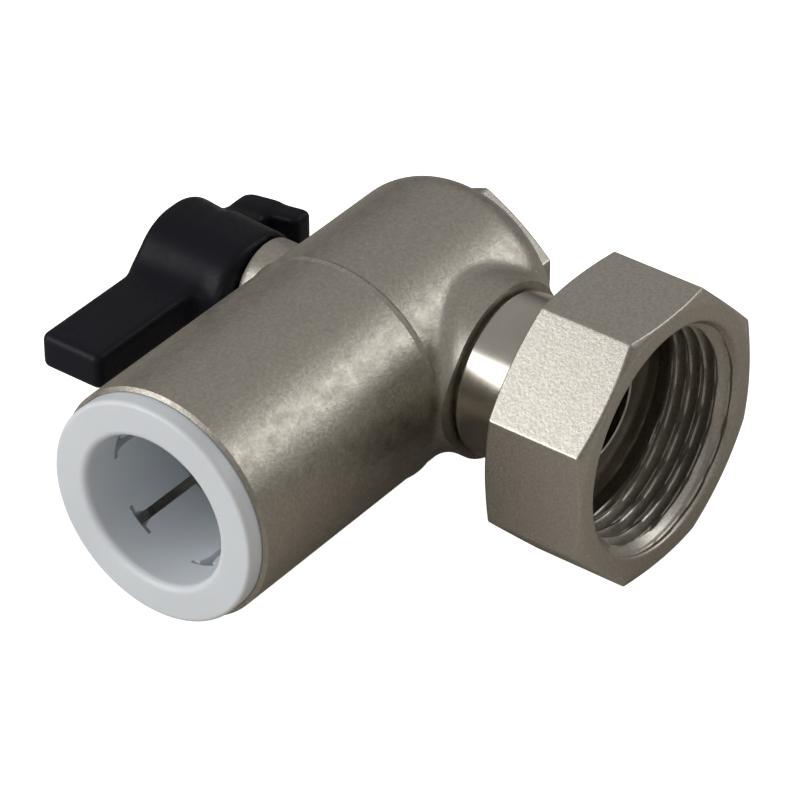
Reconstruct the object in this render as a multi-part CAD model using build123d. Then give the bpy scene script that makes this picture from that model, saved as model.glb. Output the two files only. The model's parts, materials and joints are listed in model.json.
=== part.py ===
from build123d import *
import os
from math import asin, cos, degrees, radians, sqrt

# Angle ball valve: 22 mm push-fit inlet, and a swivel nut outlet for a 1 inch flat-seat thread.
#
# Millimetres.  The origin is the centre of the inlet mouth.  +X runs into the valve along the pipe,
# -Y leaves through the outlet nut, +Y carries the stem and its handle, and +Z is up.

# ---- driving dimensions -------------------------------------------------------------------------
PIPE_BORE_R = 11.15       # slides over a 22 mm pipe
PASSAGE_R = 8.0           # waterway through seats, ball, body and tail

BODY_R = 17.0             # outside of the socket and of the ball chamber
LIP_X = 2.5               # front edge of the metal socket
RIDGE_X = (39.1, 40.2)    # raised parting line between socket and ball chamber
RIDGE_HEIGHT = 0.22
OUTLET_X = 53.2           # axis of outlet, tail and nut
STEM_X = 50.2             # axis of stem, ball and handle
DOME_X = 63.2             # start of the rounded far end
DOME_R = 7.0              # rounding of that end
DOME_FACE_R = 13.4        # flat left at the end, where the plug's hexagon seats

LIP_ROUND = 0.45
FLANGE_END_X = 3.4        # back of the collet's flange
FLANGE_ROUND = 0.9
COLLET_END_X = 17.6
FINGERS = 6
FINGER_TURN = -18         # turn of the first slot from the top, in degrees
SLOT_X = 6.0              # the slots between the fingers start here, each with a crossbar
SLOT_WIDTH = 1.3
CROSSBAR = (0.8, 4.4)
TEETH_X = (14.65, 15.15)
TEETH_R = 12.55
TOOTH_WIDTH = 9.6
SPACER_END_X = 22.4
PIPE_RING_X = 24.2
PIPE_SECTION = 1.7        # radius of the pipe O-ring's section
BACKING_X = 26.0
RECESS_R = 16.45          # recess that takes the collet's flange
RECESS_END_X = 6.2
THROAT_R = 13.5           # bore that the collet's sleeve slides in
CAVITY_R = 15.0           # room for the collet's toothed heads
CAM_X = 10.0              # start of the cone that closes the heads on the pipe
CAVITY_END_X = 20.4
SEAL_END_X = 27.0
STOP_X = 35.5             # shoulder that stops the pipe

CHAMBER_R = 13.3
CHAMBER_X = 39.7
PLUG_FLATS = 23.0         # across the flats of the end plug
PLUG_HEAD = 2.9
PLUG_TURN = 35            # turn of its corners from +Y towards +Z, in degrees
PLUG_GROOVE = (64.6, 66.2)
PLUG_GROOVE_DEPTH = 1.5
PLUG_SECTION = 0.72       # radius of the O-ring's section
PLUG_WALL = 2.0
BALL_R = 12.0
PORT_R = 7.5
SEAT_GAP = 0.04           # running clearance of ball and seats
FIT_GAP = 0.02            # clearance of parts that fit in one another
SEAL_GAP = 0.01           # O-rings stand this clear of their grooves
SEAT_LENGTH = 3.5
SEAT_RING_LENGTH = 1.4    # elastic ring behind each seat
SEAT_RING_R = 10.6
PLUG_INNER_X = 60.8       # inner end of the plug, which backs the rear seat

BOSS_R = 12.8             # cast outlet boss
BOSS_END_Y = -17.6
BOSS_FILLET = 3.2
BLANK_END_Y = -30.0       # the boss is cast long and faced off
TAIL_R = 11.8
TAIL_START_Y = -18.0
TAIL_THREAD_R = 10.6
TAIL_ROOT_Y = -13.4
TAIL_GROOVE = (-15.8, -17.2)
GROOVE_DEPTH = 1.3
TAIL_SECTION = 0.62
COLLAR_R = 14.8
COLLAR_Y = -31.5
SEAL_FACE_Y = -32.8

NUT_SIDES = 8
NUT_FLATS = 39.4          # across the eight flats
NUT_CHAMFER = 0.8
NUT_BACK_Y = -28.7
NUT_FRONT_Y = -44.3
NUT_WALL = 1.9            # shoulder at the back of the nut
RING_SPLIT = 1.2          # gap in the split ring behind the collar
UNDERCUT_R = 16.7         # relief behind the thread
THREAD_Y = (-42.8, -34.2)
NUT_BORE_R = 12.2
THREAD_MINOR_R = 15.145   # G 1 internal thread, crests
THREAD_MAJOR_R = 16.62

STEM_R = 4.5
STEM_GAP = 0.05
STEM_BOSS_R = 6.8
STEM_BOSS_Y = 20.6
STEM_BOSS_FILLET = 2.5
STEM_FLANGE_R = 5.4
STEM_FLANGE_Y = 12.1
STEM_GROOVES = ((14.9, 15.9), (16.6, 17.6))
STEM_GROOVE_DEPTH = 1.1
STEM_SECTION = 0.5
WASHER_Y = (13.4, 14.55)
PACKING_Y = (18.0, 19.6)
PACKING_R = 5.6
TANG_Y = 9.5              # the stem's tang reaches in to here, in the ball's slot
TANG_WIDTH = 4.4
GLAND_FLATS = 10.4
GLAND_TOP_Y = 23.8
SQUARE = 6.2              # across the stem's square
SQUARE_CORNER_R = 4.3
SQUARE_TOP_Y = 33.0
SCREW_R = 1.55
SCREW_HEAD_R = 3.4
SCREW_HEAD_Y = (34.1, 36.4)
SCREW_END_Y = 26.0
SCREW_SLOT = (4.4, 2.0, 0.9)

HUB_Y = (21.2, 36.0)
HUB_R = (7.3, 8.5)        # radius of the hub's main cone at its inner and outer end
HUB_OFFSET = -2.6         # the main cone stands this far towards the long wing
HUB_CORE_R = (7.2, 7.4)   # radius of the hub about the stem
SKIRT_R = 6.5             # hollow that covers the gland nut
HUB_WELL_R = 4.4
LONG_WING_X = (-30.8, -2.0)  # measured from the stem
LONG_WING_Y = (25.2, 35.2)
SHORT_WING_X = (2.0, 13.0)
SHORT_WING_Y = (29.2, 35.0)
LIP_WING_X = (11.0, 15.2)  # stop lip that turns in at the short wing's tip
LIP_WING_Y = (24.4, 33.0)
WING_THICKNESS = 5.2
WING_ROUND = 1.2


# ---- helpers ------------------------------------------------------------------------------------
def turned_x(*outline):
    """Solid turned about the pipe axis from (x, radius) corners."""
    return revolve(make_face(Polyline(*outline, close=True)), Axis.X)


def turned_y(x, *outline):
    """Solid turned about an axis along Y at the given x, from (y, radius) corners."""
    corners = [(x + radius, y) for y, radius in outline]
    return revolve(make_face(Polyline(*corners, close=True)), Axis((x, 0, 0), (0, 1, 0)))


def rod_x(radius, x0, x1):
    return turned_x((x0, 0), (x1, 0), (x1, radius), (x0, radius))


def rod_y(x, radius, y0, y1):
    return turned_y(x, (y0, 0), (y1, 0), (y1, radius), (y0, radius))


def tube_y(x, inner, outer, y0, y1):
    return turned_y(x, (y0, inner), (y1, inner), (y1, outer), (y0, outer))


def tube_x(inner, outer, x0, x1):
    return turned_x((x0, inner), (x1, inner), (x1, outer), (x0, outer))


def ring_x(x, radius, section_r):
    """O-ring around the pipe axis, as a torus of circular section."""
    return Pos(x, 0, 0) * Rot(0, 90, 0) * Torus(radius, section_r)


def ring_y(x, y, radius, section_r):
    return Pos(x, y, 0) * Rot(90, 0, 0) * Torus(radius, section_r)


def ball_blank(radius):
    return Pos(STEM_X, 0, 0) * Sphere(radius)


# ---- body ---------------------------------------------------------------------------------------
DOME_ANGLE = degrees(asin((DOME_FACE_R - BODY_R + DOME_R) / DOME_R))
DOME_END_X = DOME_X + DOME_R * cos(radians(DOME_ANGLE))


def body_outside():
    """Socket and ball chamber, turned about the pipe axis, with a rounded far end."""
    dome = CenterArc((DOME_X, BODY_R - DOME_R), DOME_R, DOME_ANGLE, 90 - DOME_ANGLE)
    outline = Polyline(
        (DOME_X, BODY_R), (LIP_X + LIP_ROUND, BODY_R), (LIP_X, BODY_R - LIP_ROUND),
        (LIP_X, 0), (DOME_END_X, 0), (DOME_END_X, DOME_FACE_R),
    )
    return revolve(make_face(outline + dome), Axis.X)


def boss_on(body, x, radius, y_end, fillet_r):
    """Adds a round boss along Y and rounds the line where it leaves the body."""
    side = 1 if y_end > 0 else -1
    joined = body + rod_y(x, radius, *sorted((0, y_end)))
    curves = [edge for edge in joined.edges() if edge.geom_type == GeomType.BSPLINE and edge.length > 5]
    seam = [curve for curve in curves if 3 < side * curve.center().Y < BODY_R + 3]
    return fillet(seam, fillet_r)


def cast_blank():
    """Body with both bosses, the outlet boss faced off square."""
    body = boss_on(body_outside(), OUTLET_X, BOSS_R, BLANK_END_Y, BOSS_FILLET)
    facing = Box(4 * BODY_R, 2 * BODY_R, 4 * BODY_R, align=(Align.CENTER, Align.MAX, Align.CENTER))
    body -= facing.moved(Location((OUTLET_X, BOSS_END_Y, 0)))
    body = boss_on(body, STEM_X, STEM_BOSS_R, STEM_BOSS_Y, STEM_BOSS_FILLET)
    middle, foot_r = sum(RIDGE_X) / 2, BODY_R - 1
    ridge = turned_x((RIDGE_X[0], foot_r), (RIDGE_X[0], BODY_R), (middle, BODY_R + RIDGE_HEIGHT),
                     (RIDGE_X[1], BODY_R), (RIDGE_X[1], foot_r))
    return body + ridge


def body_hollow():
    """Everything that is bored along the pipe axis."""
    return turned_x(
        (LIP_X - 1, 0), (LIP_X - 1, RECESS_R), (RECESS_END_X, RECESS_R), (RECESS_END_X, THROAT_R),
        (CAM_X, THROAT_R), (CAM_X + 2.2, CAVITY_R), (CAVITY_END_X, CAVITY_R), (CAVITY_END_X, CAVITY_R - 0.4),
        (SEAL_END_X, CAVITY_R - 0.4), (SEAL_END_X, PIPE_BORE_R), (STOP_X, PIPE_BORE_R), (STOP_X, PASSAGE_R),
        (CHAMBER_X, PASSAGE_R), (CHAMBER_X, CHAMBER_R), (DOME_END_X + 1, CHAMBER_R), (DOME_END_X + 1, 0),
    )


def valve_body():
    body = cast_blank() - body_hollow()
    body -= rod_y(OUTLET_X, PASSAGE_R, BOSS_END_Y - 1, 0)
    body -= rod_y(OUTLET_X, TAIL_THREAD_R, BOSS_END_Y - 1, TAIL_ROOT_Y)
    body -= rod_y(STEM_X, STEM_R + STEM_GAP, 0, STEM_BOSS_Y + 1)
    body -= rod_y(STEM_X, STEM_FLANGE_R + 0.1, 0, WASHER_Y[1] + 0.05)
    body -= rod_y(STEM_X, PACKING_R, PACKING_Y[0], STEM_BOSS_Y + 1)
    return body


def end_plug():
    """Hexagon plug that closes the ball chamber."""
    outer_x = DOME_END_X + PLUG_HEAD
    hexagon = RegularPolygon(PLUG_FLATS / 2, 6, major_radius=False, rotation=PLUG_TURN)
    plan = Plane.YZ.offset(DOME_END_X) * hexagon
    crown = turned_x((DOME_END_X, 0), (DOME_END_X, DOME_FACE_R), (outer_x - 0.6, DOME_FACE_R),
                     (outer_x, PLUG_FLATS / 2 - 0.2), (outer_x, 0))
    shank_r = CHAMBER_R - FIT_GAP
    shank = tube_x(PASSAGE_R, shank_r, PLUG_INNER_X, DOME_END_X)
    shank += rod_x(shank_r, PLUG_INNER_X + PLUG_WALL, DOME_END_X)
    groove = tube_x(CHAMBER_R - PLUG_GROOVE_DEPTH, CHAMBER_R + 1, *PLUG_GROOVE)
    return (extrude(plan, PLUG_HEAD) & crown) + shank - groove


def plug_o_ring():
    radius = CHAMBER_R - PLUG_GROOVE_DEPTH + SEAL_GAP + PLUG_SECTION
    return ring_x(sum(PLUG_GROOVE) / 2, radius, PLUG_SECTION)


# ---- push-fit inlet -----------------------------------------------------------------------------
def collet():
    """Release collar and six gripping fingers, moulded in one piece."""
    sleeve_r, head_r, face_r = THROAT_R - 0.1, CAVITY_R - 0.15, RECESS_R - 0.1
    blank = turned_x(
        (0, PIPE_BORE_R), (0, face_r - FLANGE_ROUND), (FLANGE_ROUND / 3, face_r - FLANGE_ROUND / 3),
        (FLANGE_ROUND, face_r), (FLANGE_END_X, face_r), (FLANGE_END_X, sleeve_r), (CAM_X + 0.1, sleeve_r),
        (CAM_X + 2.4, head_r), (COLLET_END_X, head_r), (COLLET_END_X, PIPE_BORE_R),
    )
    upright = (Align.MIN, Align.CENTER, Align.MIN)
    slot = Box(COLLET_END_X, SLOT_WIDTH, PIPE_BORE_R, align=upright)
    crossbar = Box(*CROSSBAR, PIPE_BORE_R, align=upright)
    cut = (slot + crossbar).moved(Location((SLOT_X, 0, PIPE_BORE_R - 1.2)))
    for finger in range(FINGERS):
        blank -= cut.rotate(Axis.X, FINGER_TURN + 360 / FINGERS * finger)
    return blank - tube_x(PIPE_BORE_R - 1, TEETH_R + 0.05, TEETH_X[0] - 0.05, TEETH_X[1] + 0.05)


def collet_teeth():
    """Stainless grip teeth, one in each finger's head."""
    ring = tube_x(PIPE_BORE_R, TEETH_R, *TEETH_X)
    wedge = Box(2, TOOTH_WIDTH, PIPE_BORE_R, align=(Align.CENTER, Align.CENTER, Align.MIN))
    wedge = wedge.moved(Location((sum(TEETH_X) / 2, 0, PIPE_BORE_R - 2)))
    step = 360 / FINGERS
    turns = [FINGER_TURN + step / 2 + step * finger for finger in range(FINGERS)]
    teeth = [ring & wedge.rotate(Axis.X, turn) for turn in turns]
    return Compound(children=[tooth.solids()[0] for tooth in teeth])


def pipe_spacer_ring():
    return tube_x(PIPE_BORE_R + 0.05, CAVITY_R - 0.45, CAVITY_END_X + 0.05, SPACER_END_X)


def pipe_o_ring():
    return ring_x(PIPE_RING_X, PIPE_BORE_R + FIT_GAP + PIPE_SECTION, PIPE_SECTION)


def pipe_backing_ring():
    return tube_x(PIPE_BORE_R + 0.05, CAVITY_R - 0.45, BACKING_X, SEAL_END_X - FIT_GAP)


# ---- ball and seats -----------------------------------------------------------------------------
def ball():
    """Two-way ball: one port faces the inlet, the other looks down the outlet."""
    blank = ball_blank(BALL_R)
    blank -= rod_x(PORT_R, STEM_X - BALL_R - 1, STEM_X)
    blank -= rod_y(STEM_X, PORT_R, -BALL_R - 1, 0)
    blank -= ball_blank(PORT_R)
    slot = Box(2 * BALL_R, BALL_R, TANG_WIDTH + 0.2, align=(Align.CENTER, Align.MIN, Align.CENTER))
    return blank - slot.moved(Location((STEM_X, TANG_Y - 0.1, 0)))


def seat(start, side):
    """Seat ring from its back face at start towards the ball, which hollows its inner edge."""
    reach = BALL_R + SEAT_GAP
    end = start + side * SEAT_LENGTH

    def on_ball(x):
        return x, sqrt(reach**2 - (STEM_X - x) ** 2)

    rim_x = STEM_X - side * sqrt(reach**2 - PASSAGE_R**2)
    contact = ThreePointArc((rim_x, PASSAGE_R), on_ball((rim_x + end) / 2), on_ball(end))
    back = Polyline(on_ball(end), (end, CHAMBER_R - 0.05), (start, CHAMBER_R - 0.05), (start, PASSAGE_R),
                    (rim_x, PASSAGE_R))
    return revolve(make_face(contact + back), Axis.X)


def inlet_seat():
    return seat(CHAMBER_X + SEAT_RING_LENGTH, 1)


def rear_seat():
    return seat(PLUG_INNER_X - SEAT_RING_LENGTH, -1)


def seat_ring(x0):
    """Elastic ring that presses a seat on the ball."""
    return tube_x(SEAT_RING_R, CHAMBER_R - 0.1, x0 + FIT_GAP, x0 + SEAT_RING_LENGTH - FIT_GAP)


# ---- stem and gland -----------------------------------------------------------------------------
def stem():
    neck_r = STEM_R - STEM_GROOVE_DEPTH
    shoulder_y = GLAND_TOP_Y + 0.4
    outline = [(STEM_FLANGE_Y, 0), (STEM_FLANGE_Y, STEM_FLANGE_R), (WASHER_Y[0], STEM_FLANGE_R),
               (WASHER_Y[0], STEM_R)]
    for start, end in STEM_GROOVES:
        outline += [(start, STEM_R), (start, neck_r), (end, neck_r), (end, STEM_R)]
    outline += [(shoulder_y, STEM_R), (shoulder_y, SQUARE_CORNER_R), (SQUARE_TOP_Y, SQUARE_CORNER_R),
                (SQUARE_TOP_Y, 0)]
    square = Box(SQUARE, SQUARE_TOP_Y, SQUARE, align=(Align.CENTER, Align.MIN, Align.CENTER))
    square = square.moved(Location((STEM_X, shoulder_y, 0)))
    round_part = rod_y(STEM_X, STEM_FLANGE_R, STEM_FLANGE_Y, shoulder_y)
    spindle = turned_y(STEM_X, *outline) & (round_part + square)
    tang = Box(2 * STEM_FLANGE_R, STEM_FLANGE_Y, TANG_WIDTH, align=(Align.CENTER, Align.MIN, Align.CENTER))
    tang = tang.moved(Location((STEM_X, TANG_Y, 0)))
    tang &= rod_y(STEM_X, STEM_FLANGE_R - 0.1, TANG_Y, STEM_FLANGE_Y + 0.1)
    return spindle + tang - rod_y(STEM_X, SCREW_R + 0.05, GLAND_TOP_Y, SQUARE_TOP_Y + 1)


def stem_thrust_washer():
    return tube_y(STEM_X, STEM_R + FIT_GAP, STEM_FLANGE_R, WASHER_Y[0] + FIT_GAP, WASHER_Y[1])


def stem_o_ring(groove):
    radius = STEM_R - STEM_GROOVE_DEPTH + SEAL_GAP + STEM_SECTION + 0.07
    return ring_y(STEM_X, sum(groove) / 2, radius, STEM_SECTION)


def stem_packing():
    return tube_y(STEM_X, STEM_R + STEM_GAP, PACKING_R - 0.05, PACKING_Y[0] + FIT_GAP, PACKING_Y[1])


def gland_nut():
    """Hexagon gland nut that presses the packing."""
    bore_r = STEM_R + 0.08
    plan = Plane((STEM_X, STEM_BOSS_Y, 0), x_dir=(1, 0, 0), z_dir=(0, 1, 0))
    head = extrude(plan * RegularPolygon(GLAND_FLATS / 2, 6, major_radius=False), GLAND_TOP_Y - STEM_BOSS_Y)
    half = GLAND_FLATS / 2
    crown = turned_y(STEM_X, (STEM_BOSS_Y, 0), (STEM_BOSS_Y, half + 3), (GLAND_TOP_Y - 0.8, half + 1),
                     (GLAND_TOP_Y, half + 0.1), (GLAND_TOP_Y, 0))
    shank = tube_y(STEM_X, bore_r, PACKING_R, PACKING_Y[1], STEM_BOSS_Y)
    return (head & crown) + shank - rod_y(STEM_X, bore_r, STEM_BOSS_Y - 1, GLAND_TOP_Y + 1)


# ---- handle -------------------------------------------------------------------------------------
def wing(x_range, y_range, tip):
    """One flat wing, or its lip, with the end that faces the tip direction rounded."""
    length, width = (high - low for low, high in (x_range, y_range))
    blank = Box(length, width, WING_THICKNESS, align=(Align.MIN, Align.MIN, Align.CENTER))
    blank = blank.moved(Location((STEM_X + x_range[0], y_range[0], 0)))
    return fillet(blank.faces().sort_by(tip)[-1].edges(), WING_ROUND)


def hub_cone(x, inner_r, outer_r):
    """Tapered hub with a rounded outer rim."""
    inner_y, outer_y = HUB_Y
    return turned_y(x, (inner_y, 0), (inner_y, inner_r - 0.8), (inner_y + 0.8, inner_r),
                    (outer_y - 2.4, outer_r), (outer_y - 0.7, outer_r - 0.5), (outer_y, outer_r - 1.6),
                    (outer_y, 0))


def handle():
    """Butterfly handle: an oval hub, a long wing, and a short wing with a stop lip."""
    lever = hub_cone(STEM_X, *HUB_CORE_R) + hub_cone(STEM_X + HUB_OFFSET, *HUB_R)
    lever += wing(LONG_WING_X, LONG_WING_Y, -Axis.X)
    lever += wing(SHORT_WING_X, SHORT_WING_Y, Axis.X)
    lever += wing(LIP_WING_X, LIP_WING_Y, Axis.X)
    width, top = SQUARE + 0.1, SQUARE_TOP_Y + 0.1
    socket = Box(width, top, width, align=(Align.CENTER, Align.MAX, Align.CENTER))
    lever -= socket.moved(Location((STEM_X, top, 0)))
    lever -= rod_y(STEM_X, SCREW_R + 0.5, SQUARE_TOP_Y - 1, HUB_Y[1] + 1)
    lever -= rod_y(STEM_X, SKIRT_R, HUB_Y[0] - 1, GLAND_TOP_Y + 0.45)
    return lever - rod_y(STEM_X, HUB_WELL_R, WASHER_SEAT_Y, HUB_Y[1] + 1)


WASHER_SEAT_Y = HUB_Y[1] - 2.6


def handle_screw():
    low, high = SCREW_HEAD_Y
    shank = rod_y(STEM_X, SCREW_R, SCREW_END_Y, low + 0.1)
    head = turned_y(STEM_X, (low, 0), (low, SCREW_HEAD_R), (low + 0.9, SCREW_HEAD_R),
                    (high - 0.2, SCREW_HEAD_R - 1.2), (high, 0))
    slot = Box(*SCREW_SLOT, align=(Align.CENTER, Align.MIN, Align.CENTER))
    slot = slot.moved(Location((STEM_X, low + 1.1, 0)))
    return shank + head - slot - slot.rotate(Axis((STEM_X, 0, 0), (0, 1, 0)), 90)


def handle_washer():
    low, high = WASHER_SEAT_Y + FIT_GAP, SCREW_HEAD_Y[0] - FIT_GAP
    return tube_y(STEM_X, SCREW_R + 0.25, HUB_WELL_R - 0.3, low, high)


# ---- outlet -------------------------------------------------------------------------------------
def tail_piece():
    """Turned tail screwed into the boss; its collar holds the nut."""
    thread_r = TAIL_THREAD_R - FIT_GAP
    groove_r = TAIL_THREAD_R - GROOVE_DEPTH
    root_y = TAIL_ROOT_Y - 0.05
    return turned_y(
        OUTLET_X, (root_y, PASSAGE_R), (root_y, thread_r), (TAIL_GROOVE[0], thread_r), (TAIL_GROOVE[0], groove_r),
        (TAIL_GROOVE[1], groove_r), (TAIL_GROOVE[1], thread_r), (TAIL_START_Y, thread_r),
        (TAIL_START_Y, TAIL_R - 0.5), (TAIL_START_Y - 0.5, TAIL_R), (COLLAR_Y, TAIL_R), (COLLAR_Y, COLLAR_R),
        (SEAL_FACE_Y + 0.4, COLLAR_R), (SEAL_FACE_Y, COLLAR_R - 0.4), (SEAL_FACE_Y, PASSAGE_R),
    )


def tail_o_ring():
    radius = TAIL_THREAD_R - GROOVE_DEPTH + SEAL_GAP + TAIL_SECTION
    return ring_y(OUTLET_X, sum(TAIL_GROOVE) / 2, radius, TAIL_SECTION)


def nut_slip_ring():
    """Split ring between the nut's shoulder and the tail's collar."""
    ring = tube_y(OUTLET_X, TAIL_R + 0.08, COLLAR_R - 0.1, COLLAR_Y + 0.05, NUT_BACK_Y - NUT_WALL - 0.05)
    split = Box(COLLAR_R, 8, RING_SPLIT, align=(Align.MIN, Align.CENTER, Align.CENTER))
    return ring - split.moved(Location((OUTLET_X, COLLAR_Y, 0)))


def union_nut():
    """Eight-sided swivel nut, flat side down, with both ends chamfered."""
    plan = Plane((OUTLET_X, NUT_FRONT_Y, 0), x_dir=(1, 0, 0), z_dir=(0, 1, 0))
    half_side = 180 / NUT_SIDES
    octagon = RegularPolygon(NUT_FLATS / 2, NUT_SIDES, major_radius=False, rotation=half_side)
    prism = extrude(plan * octagon, NUT_BACK_Y - NUT_FRONT_Y)
    corner_r = NUT_FLATS / 2 / cos(radians(half_side)) + 0.1
    flat_r = NUT_FLATS / 2 - 0.5
    crown = turned_y(OUTLET_X, (NUT_FRONT_Y, 0), (NUT_FRONT_Y, flat_r), (NUT_FRONT_Y + NUT_CHAMFER, corner_r),
                     (NUT_BACK_Y - NUT_CHAMFER, corner_r), (NUT_BACK_Y, flat_r), (NUT_BACK_Y, 0))
    shoulder_y = NUT_BACK_Y - NUT_WALL
    hollow = turned_y(
        OUTLET_X, (NUT_FRONT_Y - 1, 0), (NUT_FRONT_Y - 1, THREAD_MAJOR_R + 1.2),
        (NUT_FRONT_Y, THREAD_MAJOR_R + 0.2), (THREAD_Y[0], THREAD_MINOR_R), (THREAD_Y[1], THREAD_MINOR_R), (THREAD_Y[1] + 0.8, UNDERCUT_R),
        (shoulder_y, UNDERCUT_R), (shoulder_y, NUT_BORE_R), (NUT_BACK_Y + 1, NUT_BORE_R), (NUT_BACK_Y + 1, 0),
    )
    return (prism & crown) - hollow


# ---- write every sub-part -----------------------------------------------------------------------
PARTS = {
    "valve_body": valve_body(),
    "end_plug": end_plug(),
    "plug_o_ring": plug_o_ring(),
    "collet": collet(),
    "collet_teeth": collet_teeth(),
    "pipe_spacer_ring": pipe_spacer_ring(),
    "pipe_o_ring": pipe_o_ring(),
    "pipe_backing_ring": pipe_backing_ring(),
    "ball": ball(),
    "inlet_seat": inlet_seat(),
    "inlet_seat_ring": seat_ring(CHAMBER_X),
    "rear_seat": rear_seat(),
    "rear_seat_ring": seat_ring(PLUG_INNER_X - SEAT_RING_LENGTH),
    "stem": stem(),
    "stem_thrust_washer": stem_thrust_washer(),
    "stem_o_ring_inner": stem_o_ring(STEM_GROOVES[0]),
    "stem_o_ring_outer": stem_o_ring(STEM_GROOVES[1]),
    "stem_packing": stem_packing(),
    "gland_nut": gland_nut(),
    "handle": handle(),
    "handle_screw": handle_screw(),
    "handle_washer": handle_washer(),
    "tail_piece": tail_piece(),
    "tail_o_ring": tail_o_ring(),
    "nut_slip_ring": nut_slip_ring(),
    "union_nut": union_nut(),
}

os.makedirs("parts", exist_ok=True)
for name, shape in PARTS.items():
    export_step(shape, f"parts/{name}.step")
    print(name, round(shape.volume, 1), len(shape.solids()))
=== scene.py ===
import json
from math import atan2, cos, pi, radians, sin, tau

import bmesh
import bpy
import numpy as np
from mathutils import Matrix, Vector

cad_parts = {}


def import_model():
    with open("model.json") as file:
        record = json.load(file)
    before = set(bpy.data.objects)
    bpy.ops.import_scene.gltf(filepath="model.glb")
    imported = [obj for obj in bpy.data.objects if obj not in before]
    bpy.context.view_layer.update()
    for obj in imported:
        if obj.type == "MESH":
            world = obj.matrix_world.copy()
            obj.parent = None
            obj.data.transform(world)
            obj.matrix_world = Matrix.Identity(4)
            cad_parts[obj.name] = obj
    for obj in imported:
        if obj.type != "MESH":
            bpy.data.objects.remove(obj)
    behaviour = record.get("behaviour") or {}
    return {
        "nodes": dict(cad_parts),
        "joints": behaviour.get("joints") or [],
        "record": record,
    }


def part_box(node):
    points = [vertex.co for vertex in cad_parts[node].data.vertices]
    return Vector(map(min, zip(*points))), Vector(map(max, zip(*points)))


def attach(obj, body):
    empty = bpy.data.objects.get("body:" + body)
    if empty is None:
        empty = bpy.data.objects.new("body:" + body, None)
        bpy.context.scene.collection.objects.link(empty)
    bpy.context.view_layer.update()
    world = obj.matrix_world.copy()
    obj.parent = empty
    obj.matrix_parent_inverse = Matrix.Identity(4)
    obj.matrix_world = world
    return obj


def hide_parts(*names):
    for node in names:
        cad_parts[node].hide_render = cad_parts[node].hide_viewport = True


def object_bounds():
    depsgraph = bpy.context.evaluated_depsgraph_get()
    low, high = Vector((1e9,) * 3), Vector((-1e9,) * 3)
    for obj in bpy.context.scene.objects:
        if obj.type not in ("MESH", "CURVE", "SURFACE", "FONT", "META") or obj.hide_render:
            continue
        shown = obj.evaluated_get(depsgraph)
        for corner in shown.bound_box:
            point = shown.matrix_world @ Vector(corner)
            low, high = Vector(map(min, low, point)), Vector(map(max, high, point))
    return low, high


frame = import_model()
CAD_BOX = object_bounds()

MM = 0.001
AXIS_X, AXIS_Y = "X", "Y"


# ---- places read from the frame -------------------------------------------------------------------
def mount(name):
    return next(m for m in frame["record"]["mounts"] if m["name"] == name)


def joint(name):
    return next(j for j in frame["joints"] if j["name"] == name)


def span(node, axis):
    """Lowest and highest millimetre of a node along one axis."""
    low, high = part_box(node)
    return low[axis] / MM, high[axis] / MM


THREAD = mount("outlet_thread")
OUTLET_X = THREAD["pos_m"][0] / MM
STEM_X = joint("handle_turn")["pos_m"][0] / MM
PIPE_R = mount("inlet_socket")["dims"]["r_mm"]

# ---- driving dimensions, in millimetres and degrees ------------------------------------------------
THREAD_MINOR_R = THREAD["dims"]["r_mm"]
THREAD_MAJOR_R = 16.62
THREAD_PITCH = 2.309
THREAD_END_Y = THREAD["pos_m"][1] / MM + THREAD["dims"]["length_mm"] / 2
THREAD_RING_STEP = 0.15     # spacing of the mesh's rings along the thread
MOUTH_SLOPE = 0.75          # chamfer at the thread's mouth
RELIEF_SLOPE = 2.2          # run-out at the thread's end
NUT_SIDES = 8
NUT_CORNER = 0.45
NUT_SHOULDER = 1.9          # wall that pulls on the slip ring
NUT_BORE_R = 12.2
NUT_CHAMFER = 2.8

TAIL_BORE_R = 8.0
TAIL_THREAD_R = 10.5
TAIL_START_Y = -18.0
TAIL_R = 11.8
COLLAR_Y = -31.5
COLLAR_R = 14.8

PLUG_HEAD = 2.9
PLUG_FLATS = 23.0
PLUG_TURN = 5
PLUG_SHANK_R = 13.28
PLUG_HOLLOW_R = 8.0
PLUG_WALL = 2.2             # between the hollow's floor and the plug's inner end
PLUG_CENTRE_R = 0.6

BORE_R = PIPE_R - 0.03      # just inside the CAD bore, so that the teeth do not share its face
FLANGE_X = 3.4
SLEEVE_R = 13.4
FINGER_R = 14.85
FINGER_CONE_X = (10.1, 12.4)
FINGERS = 6
SLOT_X = 6.0
SLOT_TURN = -18
SLOT_DEPTH = (9.5, 16.0)    # radii between which a slot's cutter reaches

GLAND_FLATS = 10.4
GLAND_BOTTOM_Y = 20.6
GLAND_NECK_R = (4.6, 5.0, 5.05)

HANDLE_GAP = 0.05           # the visual hub stands this far inside the CAD hub's faces
HUB_REACH = (2.6, 1.4)      # the hub is drawn out between these distances towards the long wing
HUB_R = (7.2, 8.5)
SKIRT_R = (7.2, 7.5)
SKIRT_SHORT = 6             # the skirt ends this far below the hub's outer face
WING_HALF = 2.8
LONG_WING_Y = (25.0, 35.3)
SHORT_WING_Y = (28.9, 35.0)
SHORT_WING_LEAN = 0.2
SHORT_WING_LEVEL = 3.5      # above the hub's inner face, where the lean is nil
LIP_LENGTH = 3.8
LIP_Y = (24.5, 34.0)
SCREW_WELL = (4.4, 2.2)     # radius and depth
HUB_HOLLOW = (6.45, 24.3)   # radius and upper end
HUB_BORE = (4.2, 33.0)
HANDLE_CELL = 0.3           # size of the surface net's cells

SCREW_END_Y = 26.0
SCREW_HEAD_Y = (34.1, 35.1)
SCREW_R = 1.5
SCREW_HEAD_R = 3.4
SCREW_CROWN_R = 2.2
SCREW_CENTRE_R = 0.02

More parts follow.
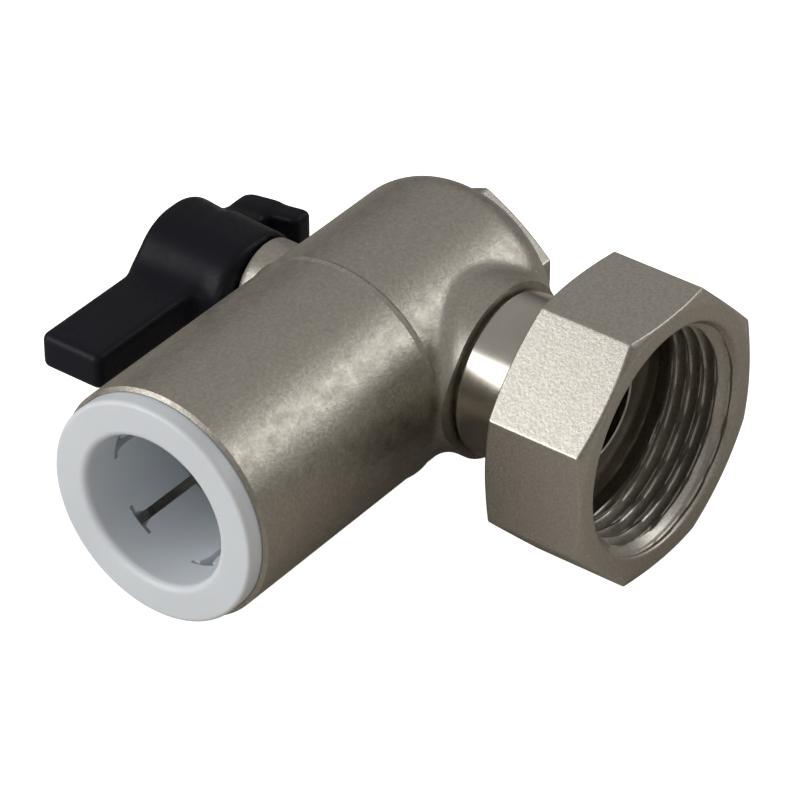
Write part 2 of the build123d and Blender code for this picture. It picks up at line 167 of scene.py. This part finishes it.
FLOOR_GLOW = 1.0
FLOOR_REFLECTED = (0.56, 0.52, 0.47)
AIM = Vector((OUTLET_X * MM, 0, 0))


# ---- meshes ---------------------------------------------------------------------------------------
def piece_from(name, vertices, faces, body, material, sharp=35):
    """Object from millimetre vertices, smooth except over edges sharper than the given angle."""
    mesh = bpy.data.meshes.new(name)
    mesh.from_pydata([tuple(float(c) * MM for c in v) for v in vertices], [], faces)
    tidy = bmesh.new()
    tidy.from_mesh(mesh)
    bmesh.ops.remove_doubles(tidy, verts=tidy.verts, dist=1e-7)
    bmesh.ops.recalc_face_normals(tidy, faces=tidy.faces)
    tidy.to_mesh(mesh)
    tidy.free()
    mesh.shade_smooth()
    mesh.set_sharp_from_angle(angle=radians(sharp))
    piece = bpy.data.objects.new(name, mesh)
    bpy.context.scene.collection.objects.link(piece)
    mesh.materials.append(material)
    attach(piece, body)
    return piece


def grid(rows):
    """Vertices and quads of rings of points; each ring is closed, and the last joins the first."""
    rows = np.asarray(rows, float)
    count, width = rows.shape[:2]
    faces = []
    for i in range(count):
        j = (i + 1) % count
        for k in range(width):
            m = (k + 1) % width
            faces.append((i * width + k, i * width + m, j * width + m, j * width + k))
    return rows.reshape(-1, 3), faces


def around(axis, centre, along, radius, angle):
    """Point or points on a circle about an axis parallel to X or Y."""
    along, radius, angle = np.broadcast_arrays(along, radius, angle)
    if axis == AXIS_X:
        return np.stack([along, radius * np.cos(angle), radius * np.sin(angle)], -1)
    return np.stack([centre + radius * np.cos(angle), along, radius * np.sin(angle)], -1)


def rounded(corners, steps=4, support=0.05):
    """Closed outline of (along, radius, rounding) corners with arcs and points that support them."""
    outline = []
    count = len(corners)
    for i, (a, r, rounding) in enumerate(corners):
        here = np.array([a, r])
        before = np.array(corners[i - 1][:2]) - here
        after = np.array(corners[(i + 1) % count][:2]) - here
        before_length, after_length = np.linalg.norm(before), np.linalg.norm(after)
        before, after = before / before_length, after / after_length
        if rounding <= 0:
            outline.append(here)
            continue
        half = np.arccos(np.clip(before @ after, -1, 1)) / 2
        reach = min(rounding / np.tan(half), before_length * 0.45, after_length * 0.45)
        radius = reach * np.tan(half)
        middle = here + (before + after) / np.linalg.norm(before + after) * radius / np.sin(half)
        start, end = here + before * reach, here + after * reach
        room = min(before_length, after_length) - reach
        if room > 3 * support:
            outline.append(start + before * support)
        angle0 = atan2(*(start - middle)[::-1])
        turn = (atan2(*(end - middle)[::-1]) - angle0 + pi) % tau - pi
        for step in range(steps + 1):
            angle = angle0 + turn * step / steps
            outline.append(middle + radius * np.array([cos(angle), sin(angle)]))
        if room > 3 * support:
            outline.append(end + after * support)
    return outline


def turned(name, axis, centre, corners, body, material, segments=128, steps=4):
    """Turned piece with rounded corners."""
    angles = np.linspace(0, tau, segments, endpoint=False)
    rows = [around(axis, centre, a, r, angles) for a, r in rounded(corners, steps)]
    return piece_from(name, *grid(rows), body, material)


def polygon(sides, flats, turn, rounding, per_side):
    """Angles and radii round a polygon with rounded corners, evenly filled along each side."""
    half_side = flats / 2 * np.tan(pi / sides)
    cut = rounding * np.tan(pi / sides)
    points = []
    for side in range(sides):
        normal = turn + tau * side / sides
        out, along = np.array([cos(normal), sin(normal)]), np.array([-sin(normal), cos(normal)])
        reach = half_side - cut
        for t in [-1, *np.linspace(-0.97, 0.97, per_side), 1]:
            points.append(out * flats / 2 + along * reach * t)
        centre = out * (flats / 2 - rounding) + along * reach
        for step in (0.2, 0.4, 0.6, 0.8):
            angle = normal + tau / sides * step
            points.append(centre + rounding * np.array([cos(angle), sin(angle)]))
    points = np.array(points)
    return np.arctan2(points[:, 1], points[:, 0]), np.hypot(points[:, 0], points[:, 1])


def crowned(rho, end, direction, flat_r, slope, bevel=0.1):
    """Rings from a flat end face over its chamfer cone to the sides of a polygon."""
    meet = end + direction * (rho - flat_r) / slope
    cone_back = np.minimum(bevel, (rho - flat_r) * 0.5)
    return [
        (np.full_like(rho, end), np.full_like(rho, flat_r - 0.25)),
        (np.full_like(rho, end), np.full_like(rho, flat_r - 0.08)),
        (np.full_like(rho, end + direction * 0.06 / slope), np.full_like(rho, flat_r + 0.06)),
        (meet - direction * cone_back / slope, rho - cone_back),
        (meet + direction * bevel, rho),
        (meet + direction * bevel * 2.5, rho),
    ]


def thread_radius(phase):
    """Whitworth form, 0 at the crest of an internal thread and 1 at its root."""
    wave = 1 - 2 * np.abs((phase % 1) - 0.5)
    return np.clip((wave - 0.16) / 0.68, 0, 1) ** 0.9


# ---- materials ------------------------------------------------------------------------------------
class Shader:
    """Small helper that builds one Principled material node by node."""

    def __init__(self, name, color, roughness, metallic=0.0, **sockets):
        self.material = bpy.data.materials.new(name)
        self.material.use_nodes = True
        self.nodes, self.links = self.material.node_tree.nodes, self.material.node_tree.links
        self.surface = self.nodes["Principled BSDF"]
        self.surface.inputs["Base Color"].default_value = (*color, 1)
        self.surface.inputs["Roughness"].default_value = roughness
        self.surface.inputs["Metallic"].default_value = metallic
        for socket, value in sockets.items():
            self.surface.inputs[socket.replace("_", " ")].default_value = value
        self.place = self.nodes.new("ShaderNodeTexCoord").outputs["Object"]
        self.height = None

    def stretched(self, scale):
        mapping = self.nodes.new("ShaderNodeMapping")
        mapping.inputs["Scale"].default_value = scale
        self.links.new(self.place, mapping.inputs["Vector"])
        return mapping.outputs["Vector"]

    def noise(self, scale, detail=3, roughness=0.5, stretch=(1, 1, 1)):
        """Noise whose scale is in features per metre."""
        texture = self.nodes.new("ShaderNodeTexNoise")
        texture.inputs["Scale"].default_value = scale
        texture.inputs["Detail"].default_value = detail
        texture.inputs["Roughness"].default_value = roughness
        self.links.new(self.stretched(stretch), texture.inputs["Vector"])
        return texture.outputs["Fac"]

    def ranged(self, value, low, high, start=0.0, end=1.0):
        remap = self.nodes.new("ShaderNodeMapRange")
        for socket, number in zip(("From Min", "From Max", "To Min", "To Max"), (start, end, low, high)):
            remap.inputs[socket].default_value = number
        self.links.new(value, remap.inputs["Value"])
        return remap.outputs["Result"]

    def colors(self, value, *stops):
        ramp = self.nodes.new("ShaderNodeValToRGB")
        elements = ramp.color_ramp.elements
        while len(elements) < len(stops):
            elements.new(0.5)
        for element, (position, color) in zip(elements, stops):
            element.position, element.color = position, (*color, 1)
        self.links.new(value, ramp.inputs["Fac"])
        self.links.new(ramp.outputs["Color"], self.surface.inputs["Base Color"])

    def rough(self, value, low, high, start=0.3, end=0.7):
        self.links.new(self.ranged(value, low, high, start, end), self.surface.inputs["Roughness"])

    def bump(self, value, depth_mm, strength=1.0):
        node = self.nodes.new("ShaderNodeBump")
        node.inputs["Distance"].default_value = depth_mm * MM
        node.inputs["Strength"].default_value = strength
        self.links.new(value, node.inputs["Height"])
        if self.height:
            self.links.new(self.height, node.inputs["Normal"])
        self.height = node.outputs["Normal"]
        self.links.new(self.height, self.surface.inputs["Normal"])


def cast_nickel():
    """Bead-blasted casting under nickel plate: fine grain, slow waviness, a warm grey."""
    look = Shader("cast_nickel", (0.50, 0.475, 0.42), 0.4, metallic=1.0)
    grain = look.noise(1900, detail=4, roughness=0.65)
    dark, middle, light = (0.40, 0.38, 0.335), (0.49, 0.465, 0.41), (0.60, 0.57, 0.505)
    look.colors(grain, (0.25, dark), (0.5, middle), (0.75, light))
    look.rough(look.noise(500, detail=2), 0.34, 0.48)
    look.bump(look.noise(230, detail=2), 0.06, 0.4)
    look.bump(grain, 0.06, 0.7)
    return look.material


def turned_nickel():
    """Turned and plated: fine rings left by the tool along the outlet's axis."""
    look = Shader("turned_nickel", (0.55, 0.53, 0.49), 0.2, metallic=1.0)
    look.colors(look.noise(180), (0.3, (0.50, 0.47, 0.42)), (0.7, (0.58, 0.55, 0.50)))
    rings = look.noise(90, detail=4, roughness=0.7, stretch=(1, 60, 1))
    look.rough(rings, 0.14, 0.24)
    look.bump(rings, 0.006, 0.5)
    return look.material


def milled_nickel():
    """Machined bar stock, tumbled and plated: satin with a fine sparkling grain."""
    look = Shader("milled_nickel", (0.52, 0.49, 0.43), 0.34, metallic=1.0)
    grain = look.noise(2300, detail=2, roughness=0.6)
    dark, middle, light = (0.46, 0.44, 0.395), (0.53, 0.505, 0.455), (0.60, 0.575, 0.52)
    look.colors(grain, (0.3, dark), (0.5, middle), (0.7, light))
    look.rough(look.noise(600), 0.32, 0.40)
    look.bump(grain, 0.035, 0.7)
    return look.material


def white_acetal():
    below = {"Subsurface_Weight": 0.15, "Subsurface_Scale": 0.002}
    look = Shader("white_acetal", (0.78, 0.83, 0.88), 0.35, **below)
    look.colors(look.noise(60), (0.3, (0.76, 0.81, 0.86)), (0.7, (0.80, 0.85, 0.90)))
    grain = look.noise(900)
    look.rough(grain, 0.3, 0.42)
    look.bump(grain, 0.01, 0.3)
    return look.material


def black_plastic():
    look = Shader("black_plastic", (0.005, 0.005, 0.011), 0.42, Specular_IOR_Level=0.2)
    look.colors(look.noise(90), (0.3, (0.004, 0.004, 0.009)), (0.7, (0.006, 0.006, 0.013)))
    grain = look.noise(1600, detail=2)
    look.rough(grain, 0.36, 0.5)
    look.bump(grain, 0.015, 0.35)
    return look.material


def plain_metal(name, light, dark, low, high):
    """Small turned or polished inner pieces."""
    look = Shader(name, light, low, metallic=1.0)
    wear = look.noise(300)
    look.colors(wear, (0.3, dark), (0.7, light))
    look.rough(wear, low, high)
    look.bump(look.noise(1800), 0.006, 0.3)
    return look.material


def seal(name, light, dark, roughness):
    look = Shader(name, light, roughness)
    wear = look.noise(500)
    look.colors(wear, (0.3, dark), (0.7, light))
    look.rough(wear, roughness - 0.06, roughness + 0.06)
    look.bump(look.noise(1500), 0.01, 0.3)
    return look.material


CAST, TURNED, MILLED = cast_nickel(), turned_nickel(), milled_nickel()
ACETAL, PLASTIC = white_acetal(), black_plastic()
BRASS = plain_metal("turned_brass", (0.76, 0.58, 0.28), (0.66, 0.49, 0.22), 0.2, 0.32)
CHROME = plain_metal("polished_chrome", (0.80, 0.80, 0.81), (0.74, 0.74, 0.76), 0.05, 0.1)
STEEL = plain_metal("bright_steel", (0.62, 0.62, 0.63), (0.5, 0.5, 0.51), 0.18, 0.3)
RUBBER = seal("seal_rubber", (0.022, 0.022, 0.022), (0.014, 0.014, 0.014), 0.55)
PTFE = seal("seat_ptfe", (0.86, 0.86, 0.83), (0.80, 0.80, 0.77), 0.45)

CAD_LOOKS = {
    "valve_body": CAST, "ball": CHROME, "collet_teeth": STEEL, "handle_washer": STEEL,
    "stem": BRASS, "nut_slip_ring": BRASS, "inlet_seat": PTFE, "rear_seat": PTFE,
    "stem_packing": PTFE, "stem_thrust_washer": PTFE,
    "pipe_spacer_ring": ACETAL, "pipe_backing_ring": ACETAL,
    "pipe_o_ring": RUBBER, "plug_o_ring": RUBBER, "tail_o_ring": RUBBER, "inlet_seat_ring": RUBBER,
    "rear_seat_ring": RUBBER, "stem_o_ring_inner": RUBBER, "stem_o_ring_outer": RUBBER,
}


def dress_cad_nodes():
    for node, material in CAD_LOOKS.items():
        for slot in frame["nodes"][node].material_slots:
            slot.material = material


# ---- outlet ---------------------------------------------------------------------------------------
def union_nut():
    """Eight-sided nut with its chamfers, a thread cut as a real helix, and the relief behind it."""
    front, back = span("union_nut", 1)
    low, high = span("union_nut", 2)
    flats = high - low
    angle, rho = polygon(NUT_SIDES, flats, 0, NUT_CORNER, 13)
    ones = np.ones_like(angle)
    flat_r = flats / 2 - 0.5
    shoulder = back - NUT_SHOULDER
    mouth_r = THREAD_MAJOR_R + 0.25
    relief_r = THREAD_MAJOR_R + 0.08

    rings = [*reversed(crowned(rho, front, 1, flat_r, NUT_CHAMFER))]
    rings += [(front * ones, (mouth_r + 0.5) * ones), (front * ones, (mouth_r + 0.2) * ones)]
    for y in np.arange(front + 0.12, THREAD_END_Y + 0.9, THREAD_RING_STEP):
        cone = mouth_r - (y - front) * MOUTH_SLOPE
        turn = (y - front) / THREAD_PITCH - angle / tau
        form = THREAD_MINOR_R + (THREAD_MAJOR_R - THREAD_MINOR_R) * thread_radius(turn)
        relief = THREAD_MINOR_R + (y - THREAD_END_Y) * RELIEF_SLOPE
        rings.append((y * ones, np.maximum(np.maximum(form, cone), relief)))
    rings += [
        ((THREAD_END_Y + 1.0) * ones, relief_r * ones), ((shoulder - 0.1) * ones, relief_r * ones),
        (shoulder * ones, (THREAD_MAJOR_R - 0.1) * ones), (shoulder * ones, (NUT_BORE_R + 0.3) * ones),
        ((shoulder + 0.3) * ones, NUT_BORE_R * ones), ((back - 0.35) * ones, NUT_BORE_R * ones),
        (back * ones, (NUT_BORE_R + 0.35) * ones), (back * ones, (NUT_BORE_R + 0.6) * ones),
    ]
    rings += crowned(rho, back, -1, flat_r, NUT_CHAMFER)
    rows = [around(AXIS_Y, OUTLET_X, y, r, angle) for y, r in rings]
    nut = piece_from("union_nut_threaded", *grid(rows), "nut", MILLED, sharp=50)
    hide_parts("union_nut")


def tail_piece():
    """Turned tail with the collar that the slip ring stops against."""
    face, root = span("tail_piece", 1)
    corners = [
        (root, TAIL_BORE_R, 0.2), (root, TAIL_THREAD_R, 0.4), (TAIL_START_Y, TAIL_THREAD_R, 0),
        (TAIL_START_Y, TAIL_R, 0.5), (COLLAR_Y, TAIL_R, 0.2), (COLLAR_Y, COLLAR_R, 0.15),
        (face, COLLAR_R, 0.3), (face, TAIL_BORE_R, 0.3),
    ]
    tail = turned("tail_piece_turned", AXIS_Y, OUTLET_X, corners, "valve", TURNED)
    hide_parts("tail_piece")


# ---- far end --------------------------------------------------------------------------------------
def end_plug():
    """Hexagon plug with a chamfered head on a hollow shank."""
    inner, outer = span("end_plug", 0)
    seat_x = outer - PLUG_HEAD
    hollow_x = inner + PLUG_WALL
    angle, rho = polygon(6, PLUG_FLATS, radians(PLUG_TURN), 0.5, 9)
    ones = np.ones_like(angle)
    rings = [
        (inner * ones, (PLUG_HOLLOW_R + 0.3) * ones), (inner * ones, 13.0 * ones),
        ((inner + 0.3) * ones, PLUG_SHANK_R * ones), ((seat_x + 0.02) * ones, PLUG_SHANK_R * ones),
        ((seat_x + 0.02) * ones, np.minimum(rho, PLUG_SHANK_R + 0.01)),
        ((seat_x + 0.05) * ones, rho), ((seat_x + 0.2) * ones, rho),
    ]
    rings += reversed(crowned(rho, outer, -1, PLUG_FLATS / 2 - 0.3, 3.2))
    rings += [
        (outer * ones, 3.0 * ones), ((outer - 0.15) * ones, PLUG_CENTRE_R * ones),
        (hollow_x * ones, PLUG_CENTRE_R * ones), (hollow_x * ones, PLUG_HOLLOW_R * ones),
        ((inner + 0.3) * ones, PLUG_HOLLOW_R * ones),
    ]
    rows = [around(AXIS_X, 0, x, r, angle) for x, r in rings]
    plug = piece_from("end_plug_hexagon", *grid(rows), "valve", MILLED, sharp=40)
    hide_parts("end_plug")


# ---- inlet ----------------------------------------------------------------------------------------
def keep_modified(piece):
    """Makes what a piece's modifiers give its own mesh."""
    graph = bpy.context.evaluated_depsgraph_get()
    result = bpy.data.meshes.new_from_object(piece.evaluated_get(graph))
    piece.modifiers.clear()
    piece.data = result


def cut_from(piece, cutters):
    """Cuts the cutters out of a piece."""
    for cutter in cutters:
        modifier = piece.modifiers.new("cut", "BOOLEAN")
        modifier.operation, modifier.solver, modifier.object = "DIFFERENCE", "EXACT", cutter
    keep_modified(piece)
    piece.data.shade_smooth()
    piece.data.set_sharp_from_angle(angle=radians(35))
    for cutter in cutters:
        bpy.data.objects.remove(cutter, do_unlink=True)


def slot_cutter(start, end, turn):
    """T-shaped prism that opens one slot between two fingers."""
    half_slot, half_foot, half_bar = 0.65, 1.15, 2.2
    bar, foot = 0.7, 2.0
    outline = [
        (start, -half_bar), (start + bar, -half_bar), (start + bar, -half_foot),
        (start + foot, -half_slot), (end, -half_slot), (end, half_slot), (start + foot, half_slot),
        (start + bar, half_foot), (start + bar, half_bar), (start, half_bar),
    ]
    mesh = bmesh.new()
    rotate = Matrix.Rotation(turn, 3, "X")
    rings = []
    for height in SLOT_DEPTH:
        rings.append([mesh.verts.new(rotate @ Vector((x, y, height)) * MM) for x, y in outline])
    mesh.faces.new(rings[0])
    mesh.faces.new(reversed(rings[1]))
    for i in range(len(outline)):
        j = (i + 1) % len(outline)
        mesh.faces.new((rings[0][j], rings[0][i], rings[1][i], rings[1][j]))
    bmesh.ops.recalc_face_normals(mesh, faces=mesh.faces)
    data = bpy.data.meshes.new("slot_cutter")
    mesh.to_mesh(data)
    mesh.free()
    cutter = bpy.data.objects.new("slot_cutter", data)
    bpy.context.scene.collection.objects.link(cutter)
    return cutter


def collet():
    """White release collar with its T-shaped slots cut through the sleeve."""
    face, end = span("collet", 0)
    rim_r = span("collet", 2)[1]
    corners = [
        (face, BORE_R, 1.0), (face, rim_r, 0.6), (FLANGE_X, rim_r, 0.2), (FLANGE_X, SLEEVE_R, 0.2),
        (FINGER_CONE_X[0], SLEEVE_R, 0.3), (FINGER_CONE_X[1], FINGER_R, 0.3), (end, FINGER_R, 0.3),
        (end, BORE_R, 0.2),
    ]
    ring = turned("collet_slotted", AXIS_X, 0, corners, "grip_collet", ACETAL, segments=144, steps=6)
    turns = [radians(SLOT_TURN + 360 // FINGERS * finger) for finger in range(FINGERS)]
    cut_from(ring, [slot_cutter(SLOT_X, end + 1, turn) for turn in turns])
    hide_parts("collet")


# ---- stem, gland and handle -----------------------------------------------------------------------
def gland_nut():
    """Small hexagon nut between the stem boss and the handle."""
    bottom, top = GLAND_BOTTOM_Y, span("gland_nut", 1)[1]
    neck_r, lower_r, upper_r = GLAND_NECK_R
    angle, rho = polygon(6, GLAND_FLATS, 0, 0.3, 7)
    ones = np.ones_like(angle)
    rings = [
        ((bottom - 1) * ones, neck_r * ones), ((bottom - 1) * ones, lower_r * ones),
        (bottom * ones, upper_r * ones), ((bottom + 0.02) * ones, rho - 0.1),
        ((bottom + 0.2) * ones, rho), ((bottom + 0.4) * ones, rho),
    ]
    rings += reversed(crowned(rho, top, -1, 5.1, 1.3, bevel=0.06))
    rings += [(top * ones, 4.8 * ones), ((top - 0.2) * ones, neck_r * ones)]
    rows = [around(AXIS_Y, STEM_X, y, r, angle) for y, r in rings]
    gland = piece_from("gland_nut_hexagon", *grid(rows), "valve", MILLED, sharp=40)
    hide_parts("gland_nut")


def block(p, low, high, rounding):
    """Distance to a box with rounded edges."""
    low, high = np.array(low, float), np.array(high, float)
    q = np.abs(p - (low + high) / 2) - (high - low) / 2 + rounding
    return np.linalg.norm(np.maximum(q, 0), axis=-1) + np.minimum(q.max(-1), 0) - rounding


def oval_cone(p, x0, x1, y0, y1, r0, r1, rounding):
    """Distance to a tapered hub along Y, drawn out between two x positions."""
    aside = p[..., 0] - np.clip(p[..., 0], x0, x1)
    rho = np.hypot(aside, p[..., 2])
    wall = r0 + (r1 - r0) * np.clip((p[..., 1] - y0) / (y1 - y0), 0, 1)
    q = np.stack([rho - wall, np.abs(p[..., 1] - (y0 + y1) / 2) - (y1 - y0) / 2], -1) + rounding
    return np.linalg.norm(np.maximum(q, 0), axis=-1) + np.minimum(q.max(-1), 0) - rounding


def blended(a, b, k):
    """Union of two distances with a fillet about k wide."""
    h = np.clip(0.5 + 0.5 * (b - a) / k, 0, 1)
    return b + (a - b) * h - k * h * (1 - h)


def surface_net(distance, low, high, step):
    """Vertices and quads of the surface where a distance is zero."""
    axes = [np.arange(a, b + step, step) for a, b in zip(low, high)]
    field = distance(np.stack(np.meshgrid(*axes, indexing="ij"), -1))
    inside = field < 0
    cells = tuple(n - 1 for n in field.shape)
    total, count = np.zeros((*cells, 3)), np.zeros(cells)
    quads = []
    ids = np.full(cells, -1)
    for axis in range(3):
        others = [a for a in range(3) if a != axis]
        for corner in ((0, 0), (0, 1), (1, 0), (1, 1)):
            offset = np.zeros(3, int)
            offset[others] = corner
            first = tuple(slice(o, o + n) for o, n in zip(offset, cells))
            beyond = offset + (np.arange(3) == axis)
            second = tuple(slice(o, o + n) for o, n in zip(beyond, cells))
            crossed = inside[first] != inside[second]
            drop = np.where(crossed, field[first] - field[second], 1)
            share = np.where(crossed, field[first] / drop, 0)
            for a in range(3):
                total[..., a] += crossed * (offset[a] + (share if a == axis else 0))
            count += crossed
    active = count > 0
    ids[active] = np.arange(active.sum())
    base = np.argwhere(active)
    vertices = np.array(low) + step * (base + total[active] / count[active][:, None])
    for axis in range(3):
        u, v = [a for a in range(3) if a != axis]
        along = [slice(1, -1)] * 3
        along[axis] = slice(0, -1)
        ahead = list(along)
        ahead[axis] = slice(1, None)
        edges = np.argwhere(inside[tuple(along)] != inside[tuple(ahead)])
        edges[:, [u, v]] += 1
        ring = []
        for du, dv in ((-1, -1), (0, -1), (0, 0), (-1, 0)):
            cell = edges.copy()
            cell[:, u] += du
            cell[:, v] += dv
            ring.append(ids[tuple(cell.T)])
        quads += np.stack(ring, -1).tolist()
    return vertices, quads


def handle():
    """Moulded handle: oval hub, long wing, and a short wing whose tip turns in as a stop."""
    low, high = span("handle", 0)
    inner, outer = span("handle", 1)
    inner, outer = inner + HANDLE_GAP, outer - HANDLE_GAP
    half = WING_HALF
    far_x, near_x = (STEM_X - reach for reach in HUB_REACH)

    def shape(p):
        hub = oval_cone(p, far_x, near_x, inner, outer, *HUB_R, 1.3)
        skirt = oval_cone(p, far_x, STEM_X, inner, outer - SKIRT_SHORT, *SKIRT_R, 0.8)
        slant = p.copy()
        slant[..., 0] += SHORT_WING_LEAN * (p[..., 1] - inner - SHORT_WING_LEVEL)
        long_wing = block(p, (low, LONG_WING_Y[0], -half), (STEM_X, LONG_WING_Y[1], half), 1.1)
        short_wing = block(slant, (STEM_X, SHORT_WING_Y[0], -half), (high, SHORT_WING_Y[1], half), 1.2)
        lip = block(slant, (high - LIP_LENGTH, LIP_Y[0], -half), (high, LIP_Y[1], half), 1.1)
        wings = blended(long_wing, blended(short_wing, lip, 1.2), 0.4)
        lever = blended(blended(hub, skirt, 1.0), wings, 2.8)
        rho = np.hypot(p[..., 0] - STEM_X, p[..., 2])
        well = np.maximum(rho - SCREW_WELL[0], outer - SCREW_WELL[1] - p[..., 1])
        hollow = np.maximum(rho - HUB_HOLLOW[0], p[..., 1] - HUB_HOLLOW[1])
        bore = np.maximum(rho - HUB_BORE[0], p[..., 1] - HUB_BORE[1])
        for space in (well, hollow, bore):
            lever = np.maximum(lever, -space)
        return np.maximum(lever, p[..., 1] - outer)

    corner_low, corner_high = (low - 1, inner - 1, -10), (high + 1, outer + 1, 10)
    vertices, faces = surface_net(shape, corner_low, corner_high, HANDLE_CELL)
    lever = piece_from("handle_moulded", vertices, faces, "spindle", PLASTIC, sharp=60)
    smooth = lever.modifiers.new("smooth", "SMOOTH")
    smooth.factor, smooth.iterations = 0.5, 3
    keep_modified(lever)
    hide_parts("handle")


def handle_screw():
    """Screw with a domed head in the handle's well."""
    top = span("handle_screw", 1)[1]
    head_y, crown_y = SCREW_HEAD_Y
    corners = [
        (SCREW_END_Y, SCREW_CENTRE_R, 0), (SCREW_END_Y, SCREW_R, 0.2), (head_y, SCREW_R, 0),
        (head_y, SCREW_HEAD_R, 0.15), (crown_y, SCREW_HEAD_R, 0.3), (top - 0.2, SCREW_CROWN_R, 0.5),
        (top - 0.02, SCREW_CENTRE_R, 0),
    ]
    screw = turned("handle_screw_head", AXIS_Y, STEM_X, corners, "spindle", STEEL, segments=48)
    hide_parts("handle_screw")


# ---- stage ----------------------------------------------------------------------------------------
def by_camera(nodes, links, output, otherwise, seen):
    """One shader for what the camera sees directly and another for the light it gives."""
    mix, path = nodes.new("ShaderNodeMixShader"), nodes.new("ShaderNodeLightPath")
    links.new(path.outputs["Is Camera Ray"], mix.inputs["Fac"])
    links.new(otherwise, mix.inputs[1])
    links.new(seen, mix.inputs[2])
    links.new(mix.outputs["Shader"], output.inputs["Surface"])


def floor():
    """Sheet under the valve: white to the camera, and a warm grey in reflections."""
    bottom = CAD_BOX[0][2]
    mesh = bpy.data.meshes.new("floor")
    half = 3.0
    corners = [(-half, -half, 0), (half, -half, 0), (half, half, 0), (-half, half, 0)]
    mesh.from_pydata(corners, [], [(0, 1, 2, 3)])
    plane = bpy.data.objects.new("floor", mesh)
    plane.location = (0, 0, bottom - 0.0001)
    bpy.context.scene.collection.objects.link(plane)
    look = Shader("floor_paper", (0.93, 0.93, 0.93), 0.9)
    look.colors(look.noise(4), (0.3, (0.92, 0.92, 0.92)), (0.7, (0.94, 0.94, 0.94)))
    look.surface.inputs["Emission Color"].default_value = (1, 1, 1, 1)
    look.surface.inputs["Emission Strength"].default_value = FLOOR_GLOW
    lit = look.nodes.new("ShaderNodeBsdfPrincipled")
    lit.inputs["Base Color"].default_value = (*FLOOR_REFLECTED, 1)
    lit.inputs["Roughness"].default_value = 0.9
    by_camera(look.nodes, look.links, look.nodes["Material Output"], lit.outputs["BSDF"],
              look.surface.outputs["BSDF"])
    mesh.materials.append(look.material)


def softbox(name, direction, distance, size, power, color=(1, 1, 1)):
    """Square area light that faces the valve from a direction."""
    data = bpy.data.lights.new(name, "AREA")
    data.shape, data.size, data.energy, data.color = "SQUARE", size, power, color
    lamp = bpy.data.objects.new(name, data)
    place = Vector(direction).normalized() * distance
    lamp.location = AIM + place
    lamp.rotation_mode = "QUATERNION"
    lamp.rotation_quaternion = place.to_track_quat("Z", "Y")
    bpy.context.scene.collection.objects.link(lamp)


def world(low, high, shade):
    """Studio surround: white to the camera; as light it is dim near the horizon and brighter above."""
    surround = bpy.data.worlds.new("studio")
    bpy.context.scene.world = surround
    surround.use_nodes = True
    nodes, links = surround.node_tree.nodes, surround.node_tree.links
    seen = nodes.new("ShaderNodeBackground")
    seen.inputs["Color"].default_value = (1, 1, 1, 1)
    lit = nodes["Background"]
    lit.inputs["Color"].default_value = (*shade, 1)
    split, rise = nodes.new("ShaderNodeSeparateXYZ"), nodes.new("ShaderNodeMapRange")
    links.new(nodes.new("ShaderNodeTexCoord").outputs["Generated"], split.inputs["Vector"])
    links.new(split.outputs["Z"], rise.inputs["Value"])
    horizon, overhead = 0.05, 0.5
    levels = (horizon, overhead, low, high)
    for socket, number in zip(("From Min", "From Max", "To Min", "To Max"), levels):
        rise.inputs[socket].default_value = number
    links.new(rise.outputs["Result"], lit.inputs["Strength"])
    by_camera(nodes, links, nodes["World Output"], lit.outputs["Background"], seen.outputs["Background"])


def camera():
    """Long lens, above and to the inlet side of the outlet."""
    azimuth, elevation, roll = radians(-52.723), radians(35.701), radians(-0.197)
    distance, aside, above = 0.681897, 0.058 * MM, -10.175 * MM
    back = Vector((sin(azimuth) * cos(elevation), -cos(azimuth) * cos(elevation), sin(elevation)))
    right = Vector((cos(azimuth), sin(azimuth), 0))
    up = back.cross(right)
    right, up = right * cos(roll) + up * sin(roll), up * cos(roll) - right * sin(roll)
    data = bpy.data.cameras.new("camera")
    data.lens, data.sensor_width = 225.38, 36
    data.clip_start, data.clip_end = 0.01, 20
    eye = bpy.data.objects.new("camera", data)
    eye.rotation_mode = "QUATERNION"
    eye.rotation_quaternion = Matrix((right, up, back)).transposed().to_quaternion()
    eye.location = AIM + back * distance + right * aside + up * above
    bpy.context.scene.collection.objects.link(eye)
    bpy.context.scene.camera = eye


def studio():
    floor()
    world(0.10, 0.40, (1.0, 0.97, 0.93))
    softbox("left_softbox", (-0.80, 0.49, 0.32), 0.9, 0.72, 4.9)
    softbox("front_softbox", (0.646, -0.584, 0.492), 1.0, 0.42, 1.25)
    bpy.context.scene.view_settings.view_transform = "Standard"


dress_cad_nodes()
union_nut()
tail_piece()
end_plug()
collet()
gland_nut()
handle()
handle_screw()
studio()
camera()
